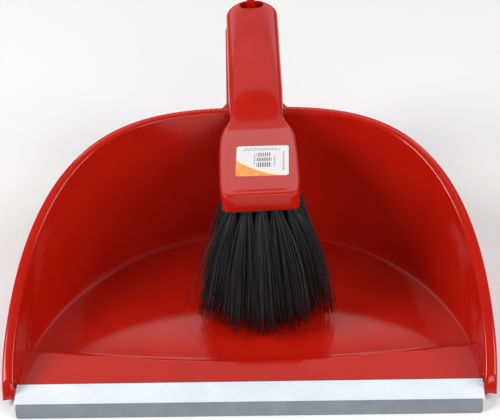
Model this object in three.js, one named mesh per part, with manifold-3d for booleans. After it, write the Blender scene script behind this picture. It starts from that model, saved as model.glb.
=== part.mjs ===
// Dustpan with a nesting hand brush, as a three.js scene graph.
// Units are millimetres. +Z is up, +Y points from the lip to the handles, +X is to the right of the lip.
// While it is being modelled, Y = 0 is at the front ends of the rim and Z = 0 is the floor that the pan
// stands on. The last lines move everything so that the origin is under the middle of the whole object.
import * as THREE from 'three';
import { mergeVertices } from 'three/addons/utils/BufferGeometryUtils.js';
import Module from 'manifold-3d';

const wasm = await Module();
wasm.setup();

// ---------------------------------------------------------------- driving dimensions
const panWidth = 310;            // across the rim
const panDepth = 206;            // from the front ends of the rim to its back edge
const rimFrontHeight = 9.5;
const rimBackHeight = 91;
const wallThickness = 2;
const handleEnd = 303.5;         // where the brush handle ends, 1 mm behind the end of the pan's handle
const gripHalfWidth = 18.9;      // half the width of the brush handle
const clearance = 0.3;           // between pieces that touch

const rim = {
  power: 2.78, rise: 0.76, fullness: 0.47, flange: 7.8, skirt: 5.2, skirtThickness: 1.6,
  frontTaper: 0.011, taperLength: 30, noseFoot: 3.4, noseLength: 9, skirtStart: 6,
};
const fold = { halfWidth: 148, depth: 178, power: 2.1, frontTaper: 0.042, taperLength: 44 };
const sectionWarp = THREE.MathUtils.degToRad(8);   // how far the rim's points run ahead of the fold's
const floorFrontShare = 0.88;    // of the fold's half width: where the floor's sections start at the front
const fillet = { side: 2, back: 6 };          // radius between floor and wall
const wallBulge = 1.25;          // over 1, so the wall is a little more upright near the rim
const crest = { front: 30, sideSetback: 14, height: 9.3, backRun: 15 };
const tongue = { front: -5, back: 10, topFront: 4.9, topBack: 6.8, halfWidth: 142 };
const rampSlope = (tongue.topBack - tongue.topFront) / (tongue.back - tongue.front);
const rampRib = { perSide: 5, pitch: 26, length: 48, thickness: 1.6, start: 1.5, sunk: 0.5 };
const lip = {
  halfLength: 145.2, bladeHalfLength: 143.6, legThickness: 1.3, webFront: -6.6, tip: -12.9, rear: 10,
};
const panHandle = {
  start: 201.4, topStart: 91.2, slope: 0.178, halfWidth: 19.8, depthAtRim: 15, depthAtEnd: 9,
  topWall: 2.4, sideWall: 3.6, endWall: 3.2, edgeRadius: 2.2, rootFlare: 4.5, rootLength: 7,
  lean: 0.042, crossing: 257.6, channelStart: 207.5, ribPitch: 24, ribThickness: 1.8,
};
const comb = { first: 22, last: 70, pitch: 3.6, width: 1.5, depth: 3.4, height: 1.3, sunk: 0.6, inset: 3.5 };
const block = { front: 88.5, back: 168, top: 95, bottom: 80, edgeRadius: 2.2, cornerRadius: 6.5 };
const handleTip = { length: 13, power: 2.5, least: 0.42, edgeRadius: 2.5 };   // rounds a handle's end in plan
const slot = { y: 297.1, width: 17.2, depth: 8 };
const peg = { y: 299, width: 6.1, depth: 3, top: 129, corner: 1.4, sunk: 1.5 };
const brushSkew = THREE.MathUtils.degToRad(2.9);   // leans the parked brush much as the pan's handle leans
const tufts = {
  columns: 5, rows: 10, holeDepth: 8.4, sides: 8, holeRadius: 2.6, rootRadius: 2.1, length: 77.2,
  rootHalfWidth: 18.6, rootFirst: 6.8, rootRun: 69,
  tipHalfWidth: 36, tipFirst: 66, tipLast: 160, tipCurve: 16, tipRadiusX: 6.4, tipRadiusY: 3.7,
};
const label = { width: 34.5, length: 36, thickness: 0.4, x: 2.4, y: 128, corner: 1.2 };
const labelTurn = THREE.MathUtils.degToRad(-2.3);

const panArcSteps = 48;          // sections around the pan, which crowd towards its front ends
const panArcCrowding = 1.6;
const brushSteps = 36;           // sections along the brush
const brushCrowding = 0.45;      // 0 spreads them evenly, 1 crowds them most towards both ends
const sectionSteps = 24;         // points around one brush section
const throughAll = 200;          // long enough to cut through anything

// ---------------------------------------------------------------- materials
function plastic(color, roughness) {
  return new THREE.MeshStandardMaterial({ color, roughness, metalness: 0 });
}

const redPlastic = () => plastic(0xbe2414, 0.28);
const whiteLip = () => plastic(0xe8eef3, 0.35);
const greyLip = () => plastic(0x848a92, 0.6);
const paper = () => plastic(0xf2efe8, 0.5);
const bristle = () => plastic(0x1c1c1e, 0.55);

// ---------------------------------------------------------------- solids, joins and cuts
function toSolid(geometry) {
  const bare = geometry.index ? geometry.toNonIndexed() : geometry.clone();
  bare.deleteAttribute('normal');
  bare.deleteAttribute('uv');
  const merged = mergeVertices(bare, 1e-4);
  return new wasm.Manifold(new wasm.Mesh({
    numProp: 3,
    vertProperties: new Float32Array(merged.attributes.position.array),
    triVerts: new Uint32Array(merged.index.array),
  }));
}

function toGeometry(solid) {
  const mesh = solid.getMesh();
  const geometry = new THREE.BufferGeometry();
  geometry.setAttribute('position', new THREE.BufferAttribute(new Float32Array(mesh.vertProperties), 3));
  geometry.setIndex(new THREE.BufferAttribute(new Uint32Array(mesh.triVerts), 1));
  return geometry;
}

// The triangles that close a loop, wound the way the loop runs. flatten maps its points to a plane.
function capTriangles(loop, flatten) {
  const flat = loop.map(flatten);
  const runsLeft = THREE.ShapeUtils.area(flat) > 0;
  return THREE.ShapeUtils.triangulateShape(flat, []).map(([a, b, c]) => {
    const turnsLeft = THREE.ShapeUtils.area([flat[a], flat[b], flat[c]]) > 0;
    return turnsLeft === runsLeft ? [a, b, c] : [a, c, b];
  });
}

// Six times the volume, negative where the faces point inwards.
function signedVolume(points, index) {
  let sum = 0;
  for (let i = 0; i < index.length; i += 3) {
    const [a, b, c] = index.slice(i, i + 3).map((n) => points[n]);
    sum += a.dot(b.clone().cross(c));
  }
  return sum;
}

// A closed solid through loops of equal point count.
function loft(loops, flatten) {
  const count = loops[0].length;
  const points = loops.flat();
  const index = [];
  for (let i = 0; i < loops.length - 1; i += 1) {
    for (let j = 0; j < count; j += 1) {
      const a = i * count + j;
      const b = i * count + ((j + 1) % count);
      index.push(a, b, a + count, b, b + count, a + count);
    }
  }
  const last = points.length - count;
  capTriangles(loops[0], flatten).forEach(([a, b, c]) => index.push(a, c, b));
  capTriangles(loops.at(-1), flatten).forEach(([a, b, c]) => index.push(last + a, last + b, last + c));
  if (signedVolume(points, index) < 0) index.reverse();
  const geometry = new THREE.BufferGeometry().setFromPoints(points);
  geometry.setIndex(index);
  return geometry;
}

// Outline points given as (y, z), extruded along X between two values.
const acrossX = new THREE.Matrix4().makeBasis(
  new THREE.Vector3(0, 1, 0), new THREE.Vector3(0, 0, 1), new THREE.Vector3(1, 0, 0),
);

function extrudeAcross(outline, fromX, toX) {
  const shape = new THREE.Shape(outline.map(([y, z]) => new THREE.Vector2(y, z)));
  const geometry = new THREE.ExtrudeGeometry(shape, { depth: toX - fromX, bevelEnabled: false });
  return geometry.applyMatrix4(acrossX).translate(fromX, 0, 0);
}

function extrudeUp(shape, fromZ, toZ, curveSegments = 6) {
  const settings = { depth: toZ - fromZ, bevelEnabled: false, curveSegments };
  return new THREE.ExtrudeGeometry(shape, settings).translate(0, 0, fromZ);
}

function box(width, depth, height, x, y, z) {
  return new THREE.BoxGeometry(width, depth, height).translate(x, y, z);
}

// A rounded rectangle in plan, centred on (x, y).
function roundedRectangle(width, depth, radius, x, y) {
  const shape = new THREE.Shape();
  const right = width / 2 - radius;
  const back = depth / 2 - radius;
  shape.absarc(x + right, y + back, radius, 0, Math.PI / 2);
  shape.absarc(x - right, y + back, radius, Math.PI / 2, Math.PI);
  shape.absarc(x - right, y - back, radius, Math.PI, 1.5 * Math.PI);
  shape.absarc(x + right, y - back, radius, 1.5 * Math.PI, 2 * Math.PI);
  return shape;
}

// A smooth curve through stations [at, value, slope].
function follow(stations, at) {
  const last = stations.length - 1;
  if (at <= stations[0][0]) return stations[0][1];
  if (at >= stations[last][0]) return stations[last][1];
  const next = stations.findIndex(([place]) => place > at);
  const [x0, v0, m0] = stations[next - 1];
  const [x1, v1, m1] = stations[next];
  const span = x1 - x0;
  const t = (at - x0) / span;
  const ease = t * t * (3 - 2 * t);
  return v0 + (v1 - v0) * ease + span * t * (1 - t) * (m0 * (1 - t) - m1 * t);
}

// ---------------------------------------------------------------- pan shell
function halfOval(halfWidth, depth, power, angle) {
  const c = Math.cos(angle);
  const s = Math.max(Math.sin(angle), 0);
  return new THREE.Vector2(
    halfWidth * Math.sign(c) * Math.abs(c) ** (2 / power),
    depth * s ** (2 / power),
  );
}

// The rim climbs from the front ends to the back, and comes down in a rounded nose at the very front.
function rimHeight(y) {
  const along = Math.max(y, 0) / panDepth;
  const climb = along ** rim.rise + rim.fullness * along ** 5 * (1 - along);
  const height = rimFrontHeight + (rimBackHeight - rimFrontHeight) * climb;
  const beforeNose = Math.max(1 - y / rim.noseLength, 0);
  return rim.noseFoot + (height - rim.noseFoot) * Math.sqrt(1 - beforeNose ** 2);
}

// How much an outline draws in towards its front ends.
function taper(y, { frontTaper, taperLength }, power) {
  return 1 - frontTaper * Math.max(1 - y / taperLength, 0) ** power;
}

function ovalNormal(halfWidth, depth, power, angle) {
  const c = Math.cos(angle);
  const s = Math.max(Math.sin(angle), 0);
  const steepness = 2 - 2 / power;
  return new THREE.Vector2(
    (Math.sign(c) * Math.abs(c) ** steepness) / halfWidth,
    s ** steepness / depth,
  ).normalize();
}

// The rolled rim as (distance past its inner edge, height above the rim's top), outside first.
function rimRoll(top, y) {
  const outer = rim.flange;
  const inside = outer - rim.skirtThickness;
  const skirtBottom = Math.max(Math.min(top - rim.skirt, y - rim.skirtStart), clearance) - top;
  const underside = Math.max(-wallThickness - 0.4, skirtBottom + 0.3);
  return [
    [0.3, -0.5], [outer * 0.25, 0.2], [outer * 0.5, 0.1], [outer * 0.75, -0.6], [outer * 0.93, -1.7],
    [outer, Math.max(-3.2, skirtBottom + 0.6)],
    [outer, skirtBottom], [inside, skirtBottom],
    [inside, Math.max(-3.6, skirtBottom + 0.3)],
    [wallThickness + 0.3, underside],
  ];
}

// The inner face of the wall as (outward distance, height), from the floor to the rim.
function wallProfile(run, top, radius) {
  const height = top - wallThickness;
  const onWall = (share) => new THREE.Vector2(
    run * (1 - (1 - share) ** wallBulge),
    wallThickness + height * share,
  );
  const floorEdge = new THREE.Vector2(-radius, wallThickness);
  const corner = new THREE.Vector2(0, wallThickness);
  const wallStart = Math.min(radius / height, 0.5);
  const foot = new THREE.QuadraticBezierCurve(floorEdge, corner, onWall(wallStart)).getPoints(5);
  const wallPoints = [1 / 3, 2 / 3, 1].map((share) => onWall(wallStart + (0.97 - wallStart) * share));
  return [...foot, ...wallPoints];
}

// The same line moved outwards by the wall thickness.
function offsetProfile(points) {
  return points.map((point, i) => {
    const before = points[Math.max(i - 1, 0)];
    const after = points[Math.min(i + 1, points.length - 1)];
    const along = (i === 0) ? new THREE.Vector2(1, 0) : after.clone().sub(before).normalize();
    return new THREE.Vector2(point.x + along.y * wallThickness, point.y - along.x * wallThickness);
  });
}

function panSection(angle) {
  const rimAngle = angle - sectionWarp * Math.sin(2 * angle) * Math.abs(Math.cos(angle));
  const rimPoint = halfOval(panWidth / 2, panDepth, rim.power, rimAngle);
  const rimNormal = ovalNormal(panWidth / 2, panDepth, rim.power, rimAngle);
  rimPoint.x *= taper(rimPoint.y, rim, 2);
  const innerEdge = rimPoint.clone().addScaledVector(rimNormal, -rim.flange);
  const foldPoint = halfOval(fold.halfWidth, fold.depth, fold.power, angle);
  foldPoint.x *= taper(foldPoint.y, fold, 1);
  const outward = innerEdge.clone().sub(foldPoint);
  const run = outward.length();
  outward.normalize();
  const top = rimHeight(rimPoint.y);
  const radius = fillet.side + (fillet.back - fillet.side) * Math.sin(angle);
  const inner = wallProfile(run, top, radius);
  const outer = offsetProfile(inner).reverse();
  const place = (from, direction) => ([distance, z]) => new THREE.Vector3(
    from.x + direction.x * distance,
    from.y + direction.y * distance,
    z,
  );
  const onWall = place(foldPoint, outward);
  const onRim = place(innerEdge, rimNormal);
  const frontX = floorFrontShare * fold.halfWidth * Math.cos(angle);
  return [
    new THREE.Vector3(frontX, 0, wallThickness),
    ...inner.map(({ x, y }) => onWall([x, y])),
    ...rimRoll(top, rimPoint.y).map(([distance, rise]) => onRim([distance, top + rise])),
    ...outer.map(({ x, y }) => onWall([x, y])),
    new THREE.Vector3(frontX, 0, 0),
  ];
}

function panShell() {
  const loops = [];
  for (let i = 0; i <= panArcSteps; i += 1) {
    const fromMiddle = (2 * i) / panArcSteps - 1;
    const quarter = (Math.PI / 2) * (1 - Math.abs(fromMiddle)) ** panArcCrowding;
    loops.push(panSection(fromMiddle < 0 ? quarter : Math.PI - quarter));
  }
  return toSolid(loft(loops, (p) => new THREE.Vector2(p.x, p.z)));
}

// ---------------------------------------------------------------- ramp behind the lip
// The ramp's crest bows towards the lip in the middle. lowered drops the whole top face.
function rampWedge(lowered, frontY, bottomZ) {
  const loops = [];
  const steps = 16;
  for (let i = 0; i <= steps; i += 1) {
    const x = fold.halfWidth * ((2 * i) / steps - 1);
    const crestY = crest.front + crest.sideSetback * (x / fold.halfWidth) ** 2;
    const topFace = [
      [crestY + crest.backRun, wallThickness - 0.6],
      [crestY + 7, 5.2],
      [crestY + 2, crest.height - 0.5],
      [crestY - 2, crest.height - 0.1],
      [tongue.back, tongue.topBack],
      [frontY, tongue.topBack + (frontY - tongue.back) * rampSlope],
    ];
    loops.push([
      [frontY, bottomZ],
      [crestY + crest.backRun, bottomZ],
      ...topFace.map(([y, z]) => [y, z - lowered]),
    ].map(([y, z]) => new THREE.Vector3(x, y, z)));
  }
  return toSolid(loft(loops, (p) => new THREE.Vector2(p.y, p.z)));
}

// The floor's outline in plan, moved outwards by grow, with a straight tongue in front of it.
function floorPrism(grow, frontHalfWidth, frontY) {
  const points = [];
  const steps = 32;
  for (let i = 0; i <= steps; i += 1) {
    points.push(halfOval(fold.halfWidth + grow, fold.depth + grow, fold.power, (Math.PI * i) / steps));
  }
  points.push(new THREE.Vector2(-frontHalfWidth, 0), new THREE.Vector2(-frontHalfWidth, frontY));
  points.push(new THREE.Vector2(frontHalfWidth, frontY), new THREE.Vector2(frontHalfWidth, 0));
  return toSolid(extrudeUp(new THREE.Shape(points), -crest.height, 4 * crest.height));
}

// Stiffening ribs that run back under the ramp.
function rampRibs() {
  const { perSide, pitch, length, thickness } = rampRib;
  const middleY = tongue.back + rampRib.start + length / 2;
  let ribs = null;
  for (let n = -perSide; n <= perSide; n += 1) {
    const rib = toSolid(box(thickness, length, 2 * crest.height, n * pitch, middleY, 0));
    ribs = ribs ? ribs.add(rib) : rib;
  }
  return ribs.intersect(rampWedge(rampRib.sunk, tongue.front, 0));
}

// The thin ramp, its ribs and the shell, with the floor opened under the ramp and a pocket for the lip.
function panWithRamp() {
  const beyond = tongue.front - 1;
  const underRamp = rampWedge(wallThickness, beyond, -1);
  const ramp = rampWedge(0, tongue.front, 0)
    .subtract(underRamp)
    .intersect(floorPrism(1, tongue.halfWidth, tongue.front));
  const opening = underRamp.intersect(floorPrism(-3.5, fold.halfWidth - 3.5, beyond));
  const pocketLength = tongue.back + 0.4 - beyond;
  const pocketMiddle = beyond + pocketLength / 2;
  const pocketWidth = 2 * (lip.halfLength + 0.4);
  const pocket = toSolid(box(pocketWidth, pocketLength, 3 * crest.height, 0, pocketMiddle, 0));
  return panShell().subtract(pocket).subtract(opening).add(ramp).add(rampRibs());
}

// ---------------------------------------------------------------- pan handle, peg and comb
function panHandleTop(y) {
  return panHandle.topStart + panHandle.slope * (y - panHandle.start);
}

// The middle of the pan's handle at y: the handle leans a little to the left.
function panHandleMiddle(y) {
  return -panHandle.lean * (y - panHandle.crossing);
}

// Rounds the end of a handle in plan: the share of the full width that is left at y.
function endShare(y, end) {
  const past = Math.max(y - (end - handleTip.length), 0) / handleTip.length;
  const share = Math.max(1 - past ** handleTip.power, 0) ** (1 / handleTip.power);
  return Math.max(share, handleTip.least);
}

function handleSection(y, halfWidth, topZ, bottomZ, radius) {
  const shape = roundedRectangle(
    2 * halfWidth, topZ - bottomZ, radius, panHandleMiddle(y), (topZ + bottomZ) / 2,
  );
  return shape.getPoints(3).slice(0, -1).map((p) => new THREE.Vector3(p.x, y, p.y));
}

function panHandleSolid(inset, fromY, toY, drop) {
  const loops = [];
  const steps = 22;
  const { rootLength, edgeRadius } = panHandle;
  const rootFlare = [[panHandle.start, panHandle.rootFlare, 0], [panHandle.start + rootLength, 0, 0]];
  for (let i = 0; i <= steps; i += 1) {
    const y = fromY + (toY - fromY) * Math.sin((Math.PI / 2) * (i / steps));
    const halfWidth = panHandle.halfWidth * endShare(y, toY) - inset + follow(rootFlare, y);
    const top = panHandleTop(y) - drop;
    const depth = follow([[fromY, panHandle.depthAtRim, 0], [toY, panHandle.depthAtEnd, 0]], y);
    loops.push(handleSection(y, halfWidth, top, top - depth, Math.min(edgeRadius, halfWidth * 0.4)));
  }
  return toSolid(loft(loops, (p) => new THREE.Vector2(p.x, p.z)));
}

function panHandleBar() {
  const end = handleEnd - 1;
  const { channelStart, topWall, sideWall, endWall, ribPitch, ribThickness } = panHandle;
  const outside = panHandleSolid(0, panHandle.start, end, 0);
  let channel = panHandleSolid(sideWall, channelStart, end - endWall, topWall);
  for (let y = channelStart + ribPitch; y < end; y += ribPitch) {
    const rib = box(throughAll, ribThickness, throughAll, 0, y, panHandleTop(y));
    channel = channel.subtract(toSolid(rib));
  }
  return outside.subtract(channel);
}

function pegSolid() {
  const foot = panHandleTop(peg.y) - peg.sunk;
  const outline = roundedRectangle(peg.width, peg.depth, peg.corner, panHandleMiddle(peg.y), peg.y);
  return toSolid(extrudeUp(outline, foot, peg.top, 3));
}

// Short teeth that stand on the back of the rim and comb the bristles clean.
function addCombTeeth(solid) {
  let joined = solid;
  for (let x = comb.first; x <= comb.last; x += comb.pitch) {
    for (const side of [-1, 1]) {
      const share = 1 - (x / (panWidth / 2)) ** rim.power;
      const rimY = panDepth * share ** (1 / rim.power);
      const foot = rimHeight(rimY) - comb.sunk;
      const height = comb.height + comb.sunk;
      const tooth = box(comb.width, comb.depth, height, side * x, rimY - comb.inset, foot + height / 2);
      joined = joined.add(toSolid(tooth));
    }
  }
  return joined;
}

function panBody() {
  const withHandle = panWithRamp().add(panHandleBar()).add(pegSolid());
  return toGeometry(addCombTeeth(withHandle));
}

// ---------------------------------------------------------------- lip
// The rigid holder is a channel that slides over the front edge of the ramp.
function lipHolder() {
  const topAt = (y) => tongue.topBack + (y - tongue.back) * rampSlope + clearance + lip.legThickness;
  const slotTop = (y) => topAt(y) - lip.legThickness;
  const slotBottom = (y) => slotTop(y) - wallThickness - 2 * clearance;
  const slotFront = tongue.front - clearance;
  const lowerRear = lip.rear - 3;
  const outline = [
    [lip.webFront, slotBottom(lip.webFront) - lip.legThickness],
    [lowerRear, slotBottom(lowerRear) - lip.legThickness],
    [lowerRear, slotBottom(lowerRear)],
    [slotFront, slotBottom(slotFront)],
    [slotFront, slotTop(slotFront)],
    [lip.rear, slotTop(lip.rear)],
    [lip.rear, topAt(lip.rear) - 0.4],
    [lip.rear - 0.6, topAt(lip.rear)],
    [lip.webFront, topAt(lip.webFront)],
  ];
  return extrudeAcross(outline, -lip.halfLength, lip.halfLength);
}

// The soft edge is a wedge that slopes down to the floor in front of the holder.
function lipBlade() {
  const back = lip.webFront - clearance;
  const { tip, bladeHalfLength: halfLength } = lip;
  const blade = toSolid(extrudeAcross([
    [back, 1.6],
    [back, 6.1],
    [back - 0.6, 6.1],
    [tip, 0.4],
    [tip + 0.2, 0],
    [tip + 2, 0],
  ], -halfLength, halfLength));
  const plan = roundedRectangle(2 * halfLength, 12, 2.5, 0, tip + 6);
  return toGeometry(blade.intersect(toSolid(extrudeUp(plan, -1, 8))));
}

// ---------------------------------------------------------------- brush body
const brushHalfWidth = [
  [block.front, 24.3, 0.1], [112, 26.2, 0], [148, 26.0, -0.04], [170, 23.6, -0.35],
  [182, 18.5, -0.05], [210, gripHalfWidth, 0], [handleEnd, gripHalfWidth, 0],
];
const brushTop = [
  [block.front, block.top, 0], [166, block.top, 0], [204, 107, 0.25], [handleEnd, 124.3, 0.14],
];
const brushBottom = [
  [block.front, block.bottom, 0], [block.back, block.bottom, 0],
  [197, 92.3, 0.3], [206, 93.6, 0.16], [handleEnd, 110.6, panHandle.slope],
];
const topPower = [[160, 9, 0], [205, 2.9, 0]];     // flat top on the block, rounded top on the grip
const bottomPower = 9;                             // flat underneath all along
const widestShare = 0.42;                          // of the height, from below, where a section is widest

// How much of a dimension is left near an end that is rounded with the given radius.
function roundedEnd(distance, radius) {
  const inside = Math.max(radius - distance, 0);
  return radius - Math.sqrt(Math.max(radius * radius - inside * inside, 0));
}

function brushSection(y) {
  const fromFront = y - block.front;
  const fromEnd = handleEnd - y;
  const trim = roundedEnd(fromFront, block.edgeRadius) + roundedEnd(fromEnd, handleTip.edgeRadius);
  const corner = roundedEnd(fromFront, block.cornerRadius);
  const halfWidth = follow(brushHalfWidth, y) * endShare(y, handleEnd) - corner;
  const top = follow(brushTop, y) - trim;
  const bottom = follow(brushBottom, y) + trim;
  const middle = bottom + (top - bottom) * widestShare;
  const section = [];
  for (let i = 0; i < sectionSteps; i += 1) {
    const angle = (2 * Math.PI * (i + 0.5)) / sectionSteps;
    const c = Math.cos(angle);
    const s = Math.sin(angle);
    const power = s > 0 ? follow(topPower, y) : bottomPower;
    const height = s > 0 ? top - middle : middle - bottom;
    section.push(new THREE.Vector3(
      halfWidth * Math.sign(c) * Math.abs(c) ** (2 / power),
      y,
      middle + height * Math.sign(s) * Math.abs(s) ** (2 / power),
    ));
  }
  return section;
}

// Sections crowd towards both rounded ends.
function brushStation(i) {
  const share = i / brushSteps;
  const crowded = (1 - Math.cos(Math.PI * share)) / 2;
  return block.front + (handleEnd - block.front) * (share + brushCrowding * (crowded - share));
}

function ellipse(x, y, z, radiusX, radiusY) {
  const points = [];
  for (let i = 0; i < tufts.sides; i += 1) {
    const angle = (2 * Math.PI * (i + 0.5)) / tufts.sides;
    points.push(new THREE.Vector3(x + radiusX * Math.cos(angle), y + radiusY * Math.sin(angle), z));
  }
  return points;
}

const loftUpright = (loops) => loft(loops, (p) => new THREE.Vector2(p.x, p.y));

// Where one tuft leaves the block and where its tips end. The tufts fan out, and their front is rounded.
function tuftLine(row, column) {
  const across = (2 * column) / (tufts.columns - 1) - 1;
  const along = row / (tufts.rows - 1);
  const rootX = tufts.rootHalfWidth * across;
  const rootY = block.front + tufts.rootFirst + tufts.rootRun * along;
  const tipX = tufts.tipHalfWidth * across;
  const tipFront = tufts.tipFirst + tufts.tipCurve * across ** 2;
  const tipY = tipFront + (tufts.tipLast - tipFront) * along;
  const sideways = (tipX - rootX) ** 2 + (tipY - rootY) ** 2;
  const tipZ = block.bottom - Math.sqrt(tufts.length ** 2 - sideways);
  const lean = (z) => {
    const share = (block.bottom - z) / (block.bottom - tipZ);
    return new THREE.Vector2(rootX + (tipX - rootX) * share, rootY + (tipY - rootY) * share);
  };
  return { lean, tipZ };
}

function tuftHole(row, column) {
  const { lean } = tuftLine(row, column);
  const levels = [block.bottom - 1, block.bottom + tufts.holeDepth];
  const loops = levels.map((z) => ellipse(lean(z).x, lean(z).y, z, tufts.holeRadius, tufts.holeRadius));
  return toSolid(loftUpright(loops));
}

function eachTuft(visit) {
  for (let row = 0; row < tufts.rows; row += 1) {
    for (let column = 0; column < tufts.columns; column += 1) visit(row, column);
  }
}

function brushBody() {
  const loops = [];
  for (let i = 0; i <= brushSteps; i += 1) loops.push(brushSection(brushStation(i)));
  let body = toSolid(loft(loops, (p) => new THREE.Vector2(p.x, p.z)));
  const slotShape = roundedRectangle(slot.width, slot.depth, slot.depth / 2 - 0.01, 0, slot.y);
  body = body.subtract(toSolid(extrudeUp(slotShape, 0, throughAll)));
  eachTuft((row, column) => {
    body = body.subtract(tuftHole(row, column));
  });
  return toGeometry(body);
}

// ---------------------------------------------------------------- tufts and label
function tuft(row, column) {
  const { lean, tipZ } = tuftLine(row, column);
  const rings = [
    [block.bottom + tufts.holeDepth - 0.8, tufts.rootRadius, tufts.rootRadius],
    [block.bottom, tufts.rootRadius, tufts.rootRadius],
    [tipZ, tufts.tipRadiusX, tufts.tipRadiusY],
  ];
  const loops = rings.map(([z, radiusX, radiusY]) => ellipse(lean(z).x, lean(z).y, z, radiusX, radiusY));
  return loftUpright(loops);
}

function labelSheet() {
  const outline = roundedRectangle(label.width, label.length, label.corner, 0, 0);
  const lift = block.top + clearance;
  const sheet = extrudeUp(outline, lift, lift + label.thickness, 3);
  return sheet.rotateZ(labelTurn).translate(label.x, label.y, 0);
}

// ---------------------------------------------------------------- scene graph
function piece(name, geometry, material) {
  const mesh = new THREE.Mesh(geometry, material);
  mesh.name = name;
  return mesh;
}

const pan = new THREE.Group();
pan.add(piece('pan_body', panBody(), redPlastic()));
pan.add(piece('lip_holder', lipHolder(), whiteLip()));
pan.add(piece('lip_blade', lipBlade(), greyLip()));

const brush = new THREE.Group();
brush.add(piece('brush_body', brushBody(), redPlastic()));
brush.add(piece('label', labelSheet(), paper()));
eachTuft((row, column) => {
  brush.add(piece(`tuft_r${row + 1}_c${column + 1}`, tuft(row, column), bristle()));
});
brush.position.y = -peg.y;

const brushPivot = new THREE.Group();
brushPivot.position.set(panHandleMiddle(peg.y) + clearance, peg.y, 0);
brushPivot.rotation.z = brushSkew;
brushPivot.add(brush);

const dustpanAndBrush = new THREE.Group();
dustpanAndBrush.add(pan, brushPivot);

const extent = new THREE.Box3().setFromObject(dustpanAndBrush, true);
dustpanAndBrush.position.y = -(extent.min.y + extent.max.y) / 2;

export default dustpanAndBrush;
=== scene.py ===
"""Looks for the dustpan and brush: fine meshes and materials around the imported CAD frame."""
import math
import random

import bmesh
import bpy
import numpy as np
from mathutils import Matrix, Vector


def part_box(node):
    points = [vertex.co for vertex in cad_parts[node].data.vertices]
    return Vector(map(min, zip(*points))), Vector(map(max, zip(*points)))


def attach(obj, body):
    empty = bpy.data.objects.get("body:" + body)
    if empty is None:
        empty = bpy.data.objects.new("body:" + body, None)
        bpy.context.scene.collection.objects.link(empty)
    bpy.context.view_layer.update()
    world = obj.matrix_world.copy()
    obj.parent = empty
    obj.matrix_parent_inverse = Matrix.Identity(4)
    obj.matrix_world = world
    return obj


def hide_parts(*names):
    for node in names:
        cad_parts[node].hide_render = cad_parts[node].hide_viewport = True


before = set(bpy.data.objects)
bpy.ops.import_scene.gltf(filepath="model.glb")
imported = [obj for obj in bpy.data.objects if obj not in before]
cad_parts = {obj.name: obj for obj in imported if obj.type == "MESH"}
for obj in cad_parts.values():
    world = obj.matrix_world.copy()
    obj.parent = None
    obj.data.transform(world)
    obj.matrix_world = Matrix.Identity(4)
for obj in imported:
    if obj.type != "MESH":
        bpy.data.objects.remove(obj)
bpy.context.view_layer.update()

# -------- sizes, in millimetres
# Pieces are worked out in the pan's own millimetres: x across, y back from the rim's front ends,
# z up from the floor. FRONT_Y carries them into the CAD's frame. A taper is the share drawn in at
# the front, the length it takes and its power.
MM = 0.001
TONGUE_FRONT = -5.0
pan_low, pan_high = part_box("pan_body")
blade_low, blade_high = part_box("lip_blade")
FRONT_Y = pan_low.y / MM - TONGUE_FRONT
PAN_HALF_WIDTH = (pan_high.x - pan_low.x) / 2 / MM
HANDLE_END = pan_high.y / MM - FRONT_Y + 1.0
PEG_TOP = pan_high.z / MM

PAN_DEPTH = 206.0
RIM_FRONT_HEIGHT = 9.5
RIM_BACK_HEIGHT = 91.0
RIM_POWER = 2.78
RIM_RISE = 0.76
RIM_FULLNESS = 0.47
RIM_TAPER = (0.011, 30.0, 2)
RIM_OUTER_RADIUS = 3.0
RIM_INNER_RADIUS = 2.2
RIM_RADIUS_LIMIT = 0.55  # of the height that the skirt leaves for a radius
RIM_CROWN = 0.35
RIM_FALL = 0.25  # how far the flange's outer side lies below its inner side
NOSE_FOOT = 4.2
NOSE_LENGTH = 6.0
FLANGE = 7.8
SKIRT = 5.2
SKIRT_START = 6.0
SKIRT_FOOT = 3.8  # height of the skirt's edge at the front ends
WALL = 2.0
WALL_BULGE = 1.25
SECTION_WARP = math.radians(8)
HALF_SECTIONS = 136  # sections of the shell on each side of its middle

FOLD_HALF_WIDTH = 148.0
FOLD_DEPTH = 178.0
FOLD_POWER = 2.1
FOLD_TAPER = (0.042, 44.0, 1)
FOLD_FAN = 4  # how fast the sections fan out at the ends of the lip
FILLET_SIDE = 2.0
FILLET_BACK = 6.0
FILLET_AT_LIP = 0.25  # the share of the fillet that is left at the lip's ends
FILLET_GROWTH = 12.0  # the distance behind the lip over which it grows to the whole

TONGUE_HALF_WIDTH = 142.0
RAMP_BACK_Y = 10.0
RAMP_FRONT_TOP = 4.9
RAMP_BACK_TOP = 6.8
RAMP_SLOPE = (RAMP_BACK_TOP - RAMP_FRONT_TOP) / (RAMP_BACK_Y - TONGUE_FRONT)
CREST_FRONT = 30.0
CREST_SETBACK = 14.0
CREST_HEIGHT = 9.3
CREST_RUN = 10.0
CREST_SOFTNESS = 0.22
CREST_MARGIN = 4.0  # the fine part of the mesh starts this far before the crest
RAMP_RIB_PITCH = 26.0
RAMP_RIB_HALF_WIDTH = 0.8
RAMP_RIB_FRONT = 11.5
LIP_HALF_LENGTH = 145.2
LIP_FRONT = -6.6
LIP_BACK = RAMP_BACK_Y + 0.4
LIP_LEG = 1.3
LIP_SLOT_END = -5.3  # the bottom of the slot that takes the ramp's front edge
LIP_LOWER_LEG_BACK = 7.0
TUCKED_WIDTH = 9.0  # how much of the ramp lies under each end of the lip

COMB_TEETH = 14
COMB_PITCH = 3.6
COMB_START = 22.0
COMB_SETBACK = 4.4
TOOTH_HALF_SIZES = (0.9, 1.6)
TOOTH_FOOT = 1.2  # how far a tooth starts below the rim's top
TOOTH_HEIGHT = 1.8

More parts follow.
